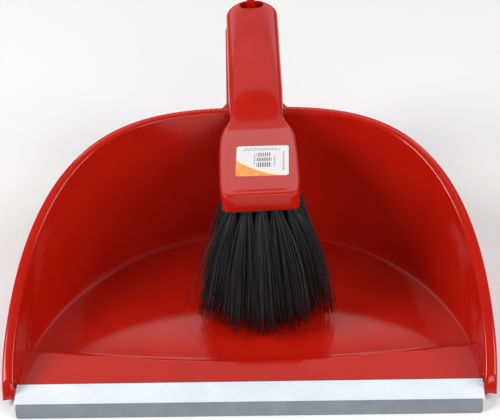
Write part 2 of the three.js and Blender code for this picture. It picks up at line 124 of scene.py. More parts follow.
PAN_HANDLE_START = 201.4
PAN_HANDLE_TOP = 91.2
PAN_HANDLE_SLOPE = 0.178
PAN_HANDLE_HALF_WIDTH = 19.8
PAN_HANDLE_LEAN = 0.042
PAN_HANDLE_CROSSING = 257.6
PAN_HANDLE_FLARE = 4.5
PAN_HANDLE_EDGE_RADIUS = 2.4
PAN_HANDLE_WALL = 2.2
PAN_HANDLE_DEPTH = (15.0, 9.0)  # at its root and at its end
HANDLE_RIBS = 3
HANDLE_RIB_PITCH = 24.0
HANDLE_RIB_HALF_SIZES = (PAN_HANDLE_HALF_WIDTH - 1.4, 0.9)
HANDLE_RIB_DEPTH = 8.0
HANDLE_TIP_LENGTH = 13.0
HANDLE_TIP_POWER = 2.5

PEG_Y = 299.0
PEG_HALF_SIZES = (3.05, 1.5)
CLEARANCE = 0.3
BRUSH_SKEW = math.radians(2.9)
BLOCK_FRONT = 88.5
BLOCK_BACK = 168.0
BLOCK_TOP = 95.0
BLOCK_BOTTOM = 80.0
GRIP_HALF_WIDTH = 18.9
SLOT_Y = 297.1
SLOT_WIDTH = 17.2
SLOT_DEPTH = 8.0
SLOT_FLARE = 0.8

GROOVE_Y = 93.2
GROOVE_DEPTH = 0.45
GROOVE_HALF_WIDTH = 17.0
GROOVE_LENGTH = 0.7
GROOVE_FADE = 1.5

TUFT_ROWS = 10
TUFT_COLUMNS = 5
TUFT_LENGTH = 77.2
ROOT_HALF_WIDTH = 18.6
ROOT_FRONT = BLOCK_FRONT + 6.8
ROOT_RUN = 69.0
TIP_HALF_WIDTH = 36.0
TIP_FRONT = 66.0
TIP_FRONT_SETBACK = 16.0  # of the outermost tufts of the front row
TIP_BACK = 160.0
HOLE_RADIUS = 2.6
HOLE_DEPTH = 8.4
COUNTERSINK = 0.5
ANCHOR_HALF_SIZES = (2.2, 0.25)
ANCHOR_HEIGHTS = (BLOCK_BOTTOM + 5.6, BLOCK_BOTTOM + 7.4)


def in_pan(points):
    """Metres in the CAD's frame for points in the pan's millimetres."""
    placed = np.array(points, float)
    placed[..., 1] += FRONT_Y
    return placed * MM


def pan_handle_middle(y):
    """The pan's handle leans a little to the left."""
    return -PAN_HANDLE_LEAN * (y - PAN_HANDLE_CROSSING)


def in_brush(points):
    """Metres for points in the brush's millimetres. The parked brush is turned about the peg."""
    turned = np.array(points, float)
    x = turned[..., 0].copy()
    y = turned[..., 1] - PEG_Y
    c = math.cos(BRUSH_SKEW)
    s = math.sin(BRUSH_SKEW)
    turned[..., 0] = x * c - y * s + pan_handle_middle(PEG_Y) + CLEARANCE
    turned[..., 1] = x * s + y * c + PEG_Y
    return in_pan(turned)


# -------- mesh helpers
def new_piece(name, vertices, faces):
    """An object in the scene from vertices in metres."""
    mesh = bpy.data.meshes.new(name)
    mesh.from_pydata([tuple(v) for v in np.reshape(vertices, (-1, 3))], [], faces)
    mesh.validate()
    piece = bpy.data.objects.new(name, mesh)
    bpy.context.scene.collection.objects.link(piece)
    return piece


def grid_faces(rows, columns, closed=False, first=0):
    """Four-sided faces over rows of vertices that are numbered from first."""
    faces = []
    for i in range(rows - 1):
        for j in range(columns if closed else columns - 1):
            a = first + i * columns + j
            b = first + i * columns + (j + 1) % columns
            faces.append((a, b, b + columns, a + columns))
    return faces


def tube_faces(rows, columns, first=0):
    """The sides of a tube made of closed rows, and a cap on each of its ends."""
    last = first + (rows - 1) * columns
    faces = grid_faces(rows, columns, closed=True, first=first)
    faces.append(tuple(range(first, first + columns))[::-1])
    faces.append(tuple(range(last, last + columns)))
    return faces


def sheet(name, grid):
    rows, columns, _ = grid.shape
    return new_piece(name, grid, grid_faces(rows, columns))


def tube_solid(name, grid):
    rows, columns, _ = grid.shape
    piece = new_piece(name, grid, tube_faces(rows, columns))
    face_outwards(piece)
    return piece


def face_up(piece):
    """Turns an open sheet so that it faces up on the whole."""
    if sum(face.normal.z * face.area for face in piece.data.polygons) < 0:
        piece.data.flip_normals()


def face_outwards(piece):
    work = bmesh.new()
    work.from_mesh(piece.data)
    bmesh.ops.recalc_face_normals(work, faces=work.faces)
    work.to_mesh(piece.data)
    work.free()


def apply_modifiers(piece):
    depsgraph = bpy.context.evaluated_depsgraph_get()
    mesh = bpy.data.meshes.new_from_object(piece.evaluated_get(depsgraph))
    piece.modifiers.clear()
    old = piece.data
    piece.data = mesh
    bpy.data.meshes.remove(old)


def thicken(piece, thickness):
    modifier = piece.modifiers.new("wall", "SOLIDIFY")
    modifier.thickness = thickness * MM
    modifier.offset = -1
    modifier.use_quality_normals = True
    apply_modifiers(piece)


def bevel(piece, width, angle=35):
    modifier = piece.modifiers.new("edges", "BEVEL")
    modifier.width = width * MM
    modifier.segments = 3
    modifier.limit_method = "ANGLE"
    modifier.angle_limit = math.radians(angle)
    apply_modifiers(piece)


def cut(piece, cutter):
    modifier = piece.modifiers.new("cut", "BOOLEAN")
    modifier.operation = "DIFFERENCE"
    modifier.solver = "EXACT"
    modifier.object = cutter
    apply_modifiers(piece)
    bpy.data.objects.remove(cutter)


def join(name, pieces):
    """One object from several, in the first one's place."""
    with bpy.context.temp_override(active_object=pieces[0], selected_editable_objects=pieces):
        bpy.ops.object.join()
    pieces[0].name = name
    return pieces[0]


def smooth(piece, angle=40):
    piece.data.shade_smooth()
    piece.data.set_sharp_from_angle(angle=math.radians(angle))


def rounded_box(name, middle, half_sizes, heights, radius, place=in_pan):
    """A box with rounded edges, from its middle and half sizes in plan and its two heights."""
    xs = (middle[0] - half_sizes[0], middle[0] + half_sizes[0])
    ys = (middle[1] - half_sizes[1], middle[1] + half_sizes[1])
    corners = [(x, y, z) for x in xs for y in ys for z in heights]
    faces = [(0, 1, 3, 2), (4, 6, 7, 5), (0, 4, 5, 1), (2, 3, 7, 6), (0, 2, 6, 4), (1, 5, 7, 3)]
    piece = new_piece(name, place(corners), faces)
    bevel(piece, radius)
    return piece


def follow(stations, at):
    """A smooth curve through stations (place, value, slope), level beyond the last ones."""
    if at <= stations[0][0]:
        return stations[0][1]
    if at >= stations[-1][0]:
        return stations[-1][1]
    after = next(i for i, station in enumerate(stations) if station[0] > at)
    start, start_value, start_slope = stations[after - 1]
    end, end_value, end_slope = stations[after]
    span = end - start
    t = (at - start) / span
    ease = t * t * (3 - 2 * t)
    leaning = span * t * (1 - t) * (start_slope * (1 - t) - end_slope * t)
    return start_value + (end_value - start_value) * ease + leaning


def signed_power(value, power):
    return math.copysign(abs(value) ** power, value)


# -------- materials
def node_material(name):
    """A new material, its node tree and its shader."""
    material = bpy.data.materials.new(name)
    material.use_nodes = True
    tree = material.node_tree
    return material, tree, tree.nodes["Principled BSDF"]


def add_node(tree, kind, **settings):
    """A node with its inputs, or else its properties, set by name."""
    node = tree.nodes.new(kind)
    for key, value in settings.items():
        if key in node.inputs:
            node.inputs[key].default_value = value
        else:
            setattr(node, key, value)
    return node


def noise(tree, scale, detail=4.0, roughness=0.55, stretch=(1, 1, 1)):
    """Noise in object metres, so that its grain has a real size."""
    place = add_node(tree, "ShaderNodeTexCoord")
    mapping = add_node(tree, "ShaderNodeMapping", Scale=stretch)
    texture = add_node(tree, "ShaderNodeTexNoise", Scale=scale, Detail=detail, Roughness=roughness)
    tree.links.new(place.outputs["Object"], mapping.inputs["Vector"])
    tree.links.new(mapping.outputs["Vector"], texture.inputs["Vector"])
    return texture.outputs["Fac"]


def color_ramp(tree, source, stops):
    """Maps a value to colours at stops (position, colour)."""
    node = add_node(tree, "ShaderNodeValToRGB")
    elements = node.color_ramp.elements
    while len(elements) < len(stops):
        elements.new(0.5)
    for element, (position, color) in zip(elements, stops):
        element.position = position
        element.color = (*color, 1)
    tree.links.new(source, node.inputs["Fac"])
    return node.outputs["Color"]


def paint(tree, shader, source, *stops):
    """The colour follows a value through stops (position, colour)."""
    tree.links.new(color_ramp(tree, source, stops), shader.inputs["Base Color"])


def roughen(tree, shader, source, low, high, smoothest, roughest):
    """The roughness follows a value as it goes from low to high."""
    limits = {"From Min": low, "From Max": high, "To Min": smoothest, "To Max": roughest}
    node = add_node(tree, "ShaderNodeMapRange", **limits)
    tree.links.new(source, node.inputs["Value"])
    tree.links.new(node.outputs["Result"], shader.inputs["Roughness"])


def bump(tree, shader, source, strength, distance):
    node = add_node(tree, "ShaderNodeBump", Strength=strength, Distance=distance)
    tree.links.new(source, node.inputs["Height"])
    tree.links.new(node.outputs["Normal"], shader.inputs["Normal"])


def moulded_red(name, gloss):
    """Glossy red polypropylene with faint flow clouds, fine scuffs and slight waviness."""
    material, tree, shader = node_material(name)
    clouds = noise(tree, 22, detail=3)
    paint(tree, shader, clouds, (0.3, (0.46, 0.008, 0.003)), (0.7, (0.52, 0.011, 0.004)))
    scuffs = noise(tree, 260, detail=4, roughness=0.5, stretch=(1, 0.25, 1))
    roughen(tree, shader, scuffs, 0.35, 0.8, gloss, gloss + 0.025)
    waviness = noise(tree, 45, detail=2)
    bump(tree, shader, waviness, 0.08, 0.0006)
    shader.inputs["IOR"].default_value = 1.49
    shader.inputs["Specular IOR Level"].default_value = 0.37
    return material


def extruded_white():
    """Satin white lip, with faint draw lines along its length and a little dirt."""
    material, tree, shader = node_material("white_lip")
    dirt = noise(tree, 60, detail=6)
    paint(tree, shader, dirt, (0.25, (0.73, 0.78, 0.82)), (0.65, (0.81, 0.86, 0.90)))
    lines = noise(tree, 900, detail=3, stretch=(0.01, 1, 1))
    roughen(tree, shader, lines, 0.3, 0.7, 0.3, 0.42)
    bump(tree, shader, lines, 0.15, 0.0002)
    return material


def soft_grey():
    """Matt grey rubber edge with a fine grain."""
    material, tree, shader = node_material("grey_lip")
    patches = noise(tree, 90, detail=6)
    paint(tree, shader, patches, (0.3, (0.19, 0.215, 0.245)), (0.7, (0.235, 0.262, 0.295)))
    grain = noise(tree, 2500, detail=4, stretch=(0.3, 1, 1))
    roughen(tree, shader, grain, 0.3, 0.7, 0.5, 0.68)
    bump(tree, shader, grain, 0.25, 0.0002)
    return material


def black_filament():
    """Black filament. Each strand carries a shade of its own."""
    material, tree, shader = node_material("bristle")
    shade = add_node(tree, "ShaderNodeAttribute", attribute_name="strand")
    darkest = (0.0, (0.005, 0.005, 0.006))
    usual = (0.6, (0.013, 0.013, 0.015))
    palest = (1.0, (0.05, 0.051, 0.055))
    paint(tree, shader, shade.outputs["Fac"], darkest, usual, palest)
    grain = noise(tree, 1500, detail=3)
    roughen(tree, shader, grain, 0.3, 0.7, 0.32, 0.5)
    return material


def drawn_wire():
    """Bright steel wire with fine draw lines."""
    material, tree, shader = node_material("anchor_wire")
    grain = noise(tree, 3000, detail=3, stretch=(0.1, 1, 1))
    paint(tree, shader, grain, (0.3, (0.42, 0.42, 0.43)), (0.7, (0.6, 0.6, 0.62)))
    shader.inputs["Metallic"].default_value = 1
    shader.inputs["Roughness"].default_value = 0.35
    return material


# -------- pan
def half_oval(half_width, depth, power, angle):
    """A point of an outline in plan, from its right front end at 0 to its left one at pi."""
    c = math.cos(angle)
    s = max(math.sin(angle), 0)
    return np.array([half_width * signed_power(c, 2 / power), depth * s ** (2 / power)])


def oval_normal(half_width, depth, power, angle):
    c = math.cos(angle)
    s = max(math.sin(angle), 0)
    normal = np.array([signed_power(c, 2 - 2 / power) / half_width, s ** (2 - 2 / power) / depth])
    return normal / np.linalg.norm(normal)


def taper(y, amount):
    """How much an outline draws in towards its front ends."""
    share, length, power = amount
    return 1 - share * max(1 - y / length, 0) ** power


def rim_height(y):
    """The rim climbs to the back, and comes down in a rounded nose at its very front."""
    along = max(y, 0) / PAN_DEPTH
    climb = along ** RIM_RISE + RIM_FULLNESS * along ** 5 * (1 - along)
    height = RIM_FRONT_HEIGHT + (RIM_BACK_HEIGHT - RIM_FRONT_HEIGHT) * climb
    before_nose = min(max(1 - y / NOSE_LENGTH, 0), 1)
    return NOSE_FOOT + (height - NOSE_FOOT) * math.sqrt(1 - before_nose ** 2)


def crest_y(x):
    """The ramp's crest bows towards the lip in the middle."""
    return CREST_FRONT + CREST_SETBACK * (x / FOLD_HALF_WIDTH) ** 2


def floor_height(x, y):
    """The inner floor: a ramp up to a sharp crest, then a steep fall to the flat floor."""
    crest = crest_y(x)
    if y < RAMP_BACK_Y:
        rise = RAMP_BACK_TOP + (y - RAMP_BACK_Y) * RAMP_SLOPE
    else:
        share = (y - RAMP_BACK_Y) / (crest - RAMP_BACK_Y)
        rise = RAMP_BACK_TOP + (CREST_HEIGHT - RAMP_BACK_TOP) * share
    past = min(max((y - crest) / CREST_RUN, 0), 1)
    fall = WALL + (CREST_HEIGHT - WALL) * (1 - past) ** 3
    rounding = CREST_SOFTNESS * math.log1p(math.exp(-abs(rise - fall) / CREST_SOFTNESS))
    return min(rise, fall) - rounding


def wall_point(run, height, share):
    """A point of the bulging wall as (distance past its foot, height)."""
    return (run * (1 - (1 - share) ** WALL_BULGE), WALL + height * share)


def arc(center, radius, start, end, steps):
    """Points along an arc, from one angle in degrees to another."""
    angles = [math.radians(start + (end - start) * i / steps) for i in range(steps + 1)]
    return [(center[0] + radius * math.cos(a), center[1] + radius * math.sin(a)) for a in angles]


def skirt_bottom(top, y):
    """The lower edge of the rim's skirt, deeper towards the front, where the rim ends in a nose."""
    return max(min(top - SKIRT, y - SKIRT_START), SKIRT_FOOT)


def rim_profile(top, y):
    """The rolled rim, over the flange and down its skirt, as (distance past its edge, height)."""
    room = top - skirt_bottom(top, y)
    outer_radius = min(RIM_OUTER_RADIUS, RIM_RADIUS_LIMIT * room)
    inner_radius = min(RIM_INNER_RADIUS, RIM_RADIUS_LIMIT * room)
    inner_bend = arc((inner_radius, top - inner_radius), inner_radius, 175, 100, 5)
    outer_bend = arc((FLANGE - outer_radius, top - outer_radius), outer_radius, 72, 0, 8)
    flat = []
    for share in (0.25, 0.5, 0.75):
        across = inner_radius + (outer_bend[0][0] - inner_radius) * share
        rise = RIM_CROWN * math.sin(math.pi * min(share * 1.25, 1))
        flat.append((across, top + rise - RIM_FALL * share ** 3))
    skirt = [(FLANGE, top - outer_radius - (room - outer_radius) * share) for share in (0.5, 1)]
    return inner_bend + flat + outer_bend + skirt


FLOOR_STEPS = (14, 34, 22)  # points on the ramp, over the crest, and on the flat floor
FILLET_STEPS = 9
WALL_STEPS = 12


def floor_stretch(start, end):
    """Shares along a line from the lip to the wall, crowded where the line crosses the crest.

    Near the lip's ends, where the line is short, each part keeps a share of it.
    """
    middle = (start + end) / 2
    reach = end[1] - start[1]
    first = (crest_y(middle[0]) - CREST_MARGIN - start[1]) / reach
    last = (crest_y(middle[0]) + CREST_RUN + CREST_MARGIN - start[1]) / reach
    first = min(first, 0.3)
    last = min(max(last, first + 0.3), 0.72)
    ramp_part = np.linspace(0, first, FLOOR_STEPS[0], endpoint=False)
    crest_part = np.linspace(first, last, FLOOR_STEPS[1], endpoint=False)
    flat_part = np.linspace(last, 1, FLOOR_STEPS[2], endpoint=False)
    return np.concatenate([ramp_part, crest_part, flat_part])


def beside_lip(y):
    return y < LIP_BACK


def rim_place(angle):
    """The rim's outer edge in plan and the direction it faces."""
    warped = angle - SECTION_WARP * math.sin(2 * angle) * abs(math.cos(angle))
    place = half_oval(PAN_HALF_WIDTH, PAN_DEPTH, RIM_POWER, warped)
    facing = oval_normal(PAN_HALF_WIDTH, PAN_DEPTH, RIM_POWER, warped)
    place[0] *= taper(place[1], RIM_TAPER)
    return place, facing


def fold_place(angle):
    """The foot of the wall in plan.

    It ends where it meets the lip, and the sections beyond that point fan out from it.
    """
    first = math.asin((LIP_BACK / FOLD_DEPTH) ** (FOLD_POWER / 2))
    fold_angle = min(max(angle, first), math.pi - first)
    place = half_oval(FOLD_HALF_WIDTH, FOLD_DEPTH, FOLD_POWER, fold_angle)
    place[0] *= taper(place[1], FOLD_TAPER)
    place[0] += FOLD_FAN * TONGUE_HALF_WIDTH * (math.cos(angle) - math.cos(fold_angle))
    return place


def wall_profile(run, top, base, radius):
    """The fillet at the wall's foot and the wall, as (distance past the fold, height)."""
    height = top - WALL
    start = min((base - WALL + radius) / height, 0.6)
    end = 1 - min(2.0 / height, 0.3)
    foot = wall_point(run, height, start)
    profile = []
    for i in range(FILLET_STEPS):
        t = i / FILLET_STEPS
        keep = (1 - t) ** 2
        bend = 2 * t * (1 - t)
        profile.append((-radius * keep + foot[0] * t * t, base * (keep + bend) + foot[1] * t * t))
    for i in range(WALL_STEPS):
        profile.append(wall_point(run, height, start + (end - start) * i / WALL_STEPS))
    return profile


def pan_section(angle):
    """One line over the pan's inner face: along ramp and floor, up the wall and over the rim."""
    rim_at, rim_normal = rim_place(angle)
    fold_at = fold_place(angle)
    inner_edge = rim_at - rim_normal * FLANGE
    outward = inner_edge - fold_at
    run = np.linalg.norm(outward)
    outward /= run
    radius = FILLET_SIDE + (FILLET_BACK - FILLET_SIDE) * math.sin(angle)
    radius *= min(FILLET_AT_LIP + (fold_at[1] - LIP_BACK) / FILLET_GROWTH, 1)

    start = np.array([TONGUE_HALF_WIDTH * math.cos(angle), TONGUE_FRONT])
    end = fold_at - outward * radius
    points = []
    for share in floor_stretch(start, end):
        x, y = start + (end - start) * share
        points.append((x, y, floor_height(x, y)))

    top = rim_height(rim_at[1])
    profile = wall_profile(run, top, floor_height(*end), radius)
    roll = rim_profile(top, rim_at[1])
    if beside_lip(rim_at[1]):
        # The wall's place is taken by the lip, and the rim has an inner skirt of its own.
        low = skirt_bottom(top, rim_at[1])
        drop = np.linspace(low, roll[0][1], len(profile), endpoint=False)
        points += [(*inner_edge, z) for z in drop]
    else:
        points += [(*(fold_at + outward * distance), z) for distance, z in profile]
    points += [(*(inner_edge + rim_normal * distance), z) for distance, z in roll]
    return points


def shell_faces(grid):
    """The shell's faces, without the two corners of the floor where the ends of the lip stand."""
    rows, columns, _ = grid.shape
    floor_columns = sum(FLOOR_STEPS)
    rim_depth = grid[:, -1, 1]
    faces = []
    for face in grid_faces(rows, columns):
        sections = {i // columns for i in face}
        on_floor = face[0] % columns < floor_columns
        if not (on_floor and any(beside_lip(rim_depth[i]) for i in sections)):
            faces.append(face)
    return faces


def tuck_under_lip(shell):
    """Keeps the two front corners of the ramp inside the lip that is pushed over them."""
    for vertex in shell.data.vertices:
        x = abs(vertex.co.x) / MM
        y = vertex.co.y / MM - FRONT_Y
        if LIP_HALF_LENGTH - TUCKED_WIDTH < x < LIP_HALF_LENGTH and y < RAMP_BACK_Y:
            vertex.co.z = min(vertex.co.z, (holder_top(y) - LIP_LEG - CLEARANCE) * MM)


def pan_shell():
    """Floor, ramp, walls and rim, from sections that crowd towards the noses at the front ends."""
    shares = [i / HALF_SECTIONS for i in range(HALF_SECTIONS + 1)]
    quarter = [math.pi / 2 * (0.985 * share ** 2.2 + 0.015 * share) for share in shares]
    angles = quarter + [math.pi - angle for angle in quarter[-2::-1]]
    grid = np.array([pan_section(angle) for angle in angles])
    shell = new_piece("pan_shell", in_pan(grid), shell_faces(grid))
    face_up(shell)
    thicken(shell, WALL)
    tuck_under_lip(shell)
    smooth(shell, 50)
    return shell


def comb_teeth():
    """Short teeth on the back of the rim that comb the bristles clean."""
    teeth = []
    for n in range(COMB_TEETH):
        x = COMB_START + n * COMB_PITCH
        rim_y = PAN_DEPTH * (1 - (x / PAN_HALF_WIDTH) ** RIM_POWER) ** (1 / RIM_POWER)
        y = rim_y - COMB_SETBACK
        foot = rim_height(rim_y) - TOOTH_FOOT
        heights = (foot, foot + TOOTH_HEIGHT)
        for side in (-1, 1):
            teeth.append(rounded_box("tooth", (side * x, y), TOOTH_HALF_SIZES, heights, 0.4))
    return join("pan_comb", teeth)


def pan_handle_top(y):
    return PAN_HANDLE_TOP + PAN_HANDLE_SLOPE * (y - PAN_HANDLE_START)


def end_share(y, end):
    """The share of a handle's width that is left at y, near its rounded end."""
    past = min(max(y - (end - HANDLE_TIP_LENGTH), 0) / HANDLE_TIP_LENGTH, 1)
    return (1 - past ** HANDLE_TIP_POWER) ** (1 / HANDLE_TIP_POWER)


def pan_handle_outline(end_y, steps):
    """Half of the handle's outline, from its root to the middle of its end, as (half width, y)."""
    outline = []
    straight_end = end_y - HANDLE_TIP_LENGTH
    for i in range(steps):
        y = PAN_HANDLE_START - 1 + (straight_end - PAN_HANDLE_START + 1) * i / steps
        flare = follow([(PAN_HANDLE_START, PAN_HANDLE_FLARE, 0), (PAN_HANDLE_START + 9, 0, 0)], y)
        outline.append((PAN_HANDLE_HALF_WIDTH + flare, y))
    for i in range(steps + 1):
        turn = math.pi / 2 * i / steps
        half_width = PAN_HANDLE_HALF_WIDTH * math.cos(turn) ** (2 / HANDLE_TIP_POWER)
        past = HANDLE_TIP_LENGTH * math.sin(turn) ** (2 / HANDLE_TIP_POWER)
        outline.append((half_width, straight_end + past))
    return outline


def pan_handle_grid(end_y):
    """Rows from the middle line of the handle's top out to its edge and down its skirt."""
    half = pan_handle_outline(end_y, 36)
    edge = np.array(half + [(-x, y) for x, y in half[-2::-1]])
    along = np.gradient(edge, axis=0)
    out = np.stack([along[:, 1], -along[:, 0]], axis=1)
    out /= np.linalg.norm(out, axis=1)[:, None]
    radius = PAN_HANDLE_EDGE_RADIUS
    root_depth, end_depth = PAN_HANDLE_DEPTH
    grid = []
    for (x, y), normal in zip(edge, out):
        inward = np.array([x, y]) - normal * radius
        middle = np.array([0.0, min(y, end_y - HANDLE_TIP_LENGTH)])
        depth = follow([(PAN_HANDLE_START, root_depth, 0), (end_y, end_depth, 0)], y)
        row = []
        for i in range(8):
            spot = middle + (inward - middle) * i / 8
            row.append((*spot, pan_handle_top(spot[1])))
        for distance, drop in arc((0, -radius), radius, 90, 0, 6):
            spot = inward + normal * distance
            row.append((*spot, pan_handle_top(spot[1]) + drop))
        for i in range(1, 5):
            row.append((x, y, pan_handle_top(y) - radius - (depth - radius) * i / 4))
        grid.append([(spot_x + pan_handle_middle(spot_y), spot_y, z) for spot_x, spot_y, z in row])
    return np.array(grid)


def pan_handle():
    """The pan's handle: a channel open below, with cross ribs in it and the peg on its end."""
    channel = sheet("pan_handle_channel", in_pan(pan_handle_grid(HANDLE_END - 1)))
    face_up(channel)
    thicken(channel, PAN_HANDLE_WALL)
    ribs = []
    for n in range(1, HANDLE_RIBS + 1):
        y = PAN_DEPTH + 1.5 + HANDLE_RIB_PITCH * n
        middle = (pan_handle_middle(y), y)
        top = pan_handle_top(y) - 1
        heights = (top - HANDLE_RIB_DEPTH, top)
        ribs.append(rounded_box("rib", middle, HANDLE_RIB_HALF_SIZES, heights, 0.3))
    peg_at = (pan_handle_middle(PEG_Y), PEG_Y)
    peg_heights = (pan_handle_top(PEG_Y) - 1.5, PEG_TOP)
    peg = rounded_box("peg", peg_at, PEG_HALF_SIZES, peg_heights, 1.0)
    handle = join("pan_handle", [channel, *ribs, peg])
    smooth(handle, 40)
    return handle


def ramp_ribs():
    """Stiffening ribs under the ramp."""
    ribs = []
    for n in range(-5, 6):
        x = RAMP_RIB_PITCH * n
        back = crest_y(x) + 8
        outline = [(y, floor_height(x, y) - 1.2) for y in (RAMP_RIB_FRONT, 20, 28)]
        outline += [(back, 1.0), (back, 0.1), (RAMP_RIB_FRONT, 0.1)]
        low = [(x - RAMP_RIB_HALF_WIDTH, y, z) for y, z in outline]
        high = [(x + RAMP_RIB_HALF_WIDTH, y, z) for y, z in outline]
        ribs.append(tube_solid("rib", in_pan(np.array([low, high]))))
    return join("ramp_ribs", ribs)


# -------- lip
def rounded_end(distance, radius):
    """How far a rounded corner lies inside its square at a distance from the end."""
    inside = max(radius - distance, 0)
    return radius - math.sqrt(max(radius * radius - inside * inside, 0))


def extruded(name, outline, half_length, radius, corner=0.0):
    """A long profile across the pan. corner rounds its front corners in plan."""
    front = min(y for y, _ in outline)
    steps = 90
    rows = []
    for i in range(steps + 1):
        x = -half_length + 2 * half_length * (1 - math.cos(math.pi * i / steps)) / 2
        trim = rounded_end(half_length - abs(x), corner)
        rows.append([(x, max(y, front + trim), z) for y, z in outline])
    piece = tube_solid(name, in_pan(np.array(rows)))
    bevel(piece, radius, angle=25)
    smooth(piece, 30)
    return piece


def holder_top(y):
    """The top of the white lip, which lies along the ramp's slope."""
    return RAMP_BACK_TOP + (y - RAMP_BACK_Y) * RAMP_SLOPE + 1.6


def lip_holder():
    """The white channel that grips the ramp's front edge between two legs."""
    leg = LIP_LEG
    gap = WALL + 0.6
    back = LIP_LOWER_LEG_BACK
    below_top = [
        (LIP_FRONT, 2 * leg + gap), (back, 2 * leg + gap), (back, leg + gap),
        (LIP_SLOT_END, leg + gap), (LIP_SLOT_END, leg), (RAMP_BACK_Y, leg), (RAMP_BACK_Y, 0.45),
    ]
    outline = [(y, holder_top(y) - depth) for y, depth in below_top]
    outline += [(RAMP_BACK_Y - 0.6, holder_top(RAMP_BACK_Y)), (LIP_FRONT, holder_top(LIP_FRONT))]
    return extruded("lip_channel", outline, LIP_HALF_LENGTH, 0.18)


def lip_blade():
    """The soft edge in front of it, thinning towards the floor."""
    back = LIP_FRONT - 0.05
    front = blade_low.y / MM - FRONT_Y
    outline = [
        (back, 1.6), (back, 6.2), (-7.6, 6.1), (-10.4, 3.35), (front, 0.45), (front + 0.2, 0.03),
        (front + 2, 0.03), (-9.5, 1.3),
    ]
    return extruded("lip_edge", outline, blade_high.x / MM, 0.22, corner=2.5)


# -------- brush body
BRUSH_HALF_WIDTH = [
    (BLOCK_FRONT, 24.3, 0.1), (112, 26.2, 0), (148, 26.0, -0.04), (170, 23.6, -0.35),
    (182, 18.5, -0.05), (210, GRIP_HALF_WIDTH, 0), (HANDLE_END, GRIP_HALF_WIDTH, 0),
]
BRUSH_TOP = [
    (BLOCK_FRONT, BLOCK_TOP, 0), (166, BLOCK_TOP, 0), (204, 107, 0.25), (HANDLE_END, 124.3, 0.14),
]
BRUSH_BOTTOM = [
    (BLOCK_FRONT, BLOCK_BOTTOM, 0), (BLOCK_BACK, BLOCK_BOTTOM, 0),
    (197, 92.3, 0.3), (206, 93.6, 0.16), (HANDLE_END, 110.6, PAN_HANDLE_SLOPE),
]
BLOCK_TOP_POWER = 9
TOP_POWER = [(160, BLOCK_TOP_POWER, 0), (205, 2.9, 0)]
BOTTOM_POWER = 13
WIDEST = 0.42  # the share of the height at which a section is widest
FRONT_DRAFT = 1.9  # how far the block's front face leans in towards its bottom
DRAFT_LENGTH = 12.0
BLOCK_EDGE_RADIUS = 2.2
BLOCK_CORNER_RADIUS = 5.0
GRIP_END_RADIUS = 2.5


def front_groove(x, y):
    """The depth of the shallow groove across the block's top, just behind its front edge."""
    across = min(max((GROOVE_HALF_WIDTH - abs(x)) / GROOVE_FADE, 0), 1)
    return GROOVE_DEPTH * across * math.exp(-((y - GROOVE_Y) / GROOVE_LENGTH) ** 2)


def brush_section(y, steps):
    """The closed outline of the brush's body at y, squarer below its widest height than above."""
    from_front = y - BLOCK_FRONT
    trim = rounded_end(from_front, BLOCK_EDGE_RADIUS) + rounded_end(HANDLE_END - y, GRIP_END_RADIUS)
    corner = rounded_end(from_front, BLOCK_CORNER_RADIUS)
    half_width = follow(BRUSH_HALF_WIDTH, y) * max(end_share(y, HANDLE_END), 0.3) - corner
    top = follow(BRUSH_TOP, y) - trim
    bottom = follow(BRUSH_BOTTOM, y) + trim
    middle = bottom + (top - bottom) * WIDEST
    points = []
    for i in range(steps):
        angle = 2 * math.pi * (i + 0.5) / steps
        c = math.cos(angle)
        s = math.sin(angle)
        power = follow(TOP_POWER, y) if s > 0 else BOTTOM_POWER
        height = top - middle if s > 0 else middle - bottom
        x = half_width * signed_power(c, 2 / power)
        z = middle + height * signed_power(s, 2 / power)
        if s > 0:
            z -= front_groove(x, y)
        undercut = FRONT_DRAFT * (BLOCK_TOP - z) / (BLOCK_TOP - BLOCK_BOTTOM)
        points.append((x, y + undercut * max(1 - from_front / DRAFT_LENGTH, 0), z))
    return points


def slot_cutter():
    """The hanging slot, flared at the top so that its edge comes out rounded."""
    rows = []
    steps = 48
    depths = [(-3.0, SLOT_FLARE)]
    for turn in np.linspace(0, math.pi / 2, 7):
        depths.append((SLOT_FLARE * (1 - math.cos(turn)), SLOT_FLARE * (1 - math.sin(turn))))
    depths.append((30.0, 0.0))
    straight = SLOT_WIDTH / 2 - SLOT_DEPTH / 2
    for depth, grow in depths:
        radius = SLOT_DEPTH / 2 + grow
        row = []
        for i in range(steps):
            angle = 2 * math.pi * (i + 0.5) / steps
            x = math.copysign(straight, math.cos(angle)) + radius * math.cos(angle)
            y = SLOT_Y + radius * math.sin(angle)
            crown = 0.35 * (x / 10) ** 2
            row.append((x, y, follow(BRUSH_TOP, y) - crown - depth))
        rows.append(row)
    return tube_solid("slot_cutter", in_brush(np.array(rows)))


def tuft_line(row, column):
    """The root and the middle of the tips of one tuft. The tufts fan out from the block."""
    across = 2 * column / (TUFT_COLUMNS - 1) - 1
    along = row / (TUFT_ROWS - 1)
    root = np.array([ROOT_HALF_WIDTH * across, ROOT_FRONT + ROOT_RUN * along])
    tip_front = TIP_FRONT + TIP_FRONT_SETBACK * across ** 2
    tip = np.array([TIP_HALF_WIDTH * across, tip_front + (TIP_BACK - tip_front) * along])
    sideways = np.sum((tip - root) ** 2)
    tip_z = BLOCK_BOTTOM - math.sqrt(TUFT_LENGTH ** 2 - sideways)
    return root, tip, tip_z


def each_tuft():
    return [(row, column) for row in range(TUFT_ROWS) for column in range(TUFT_COLUMNS)]


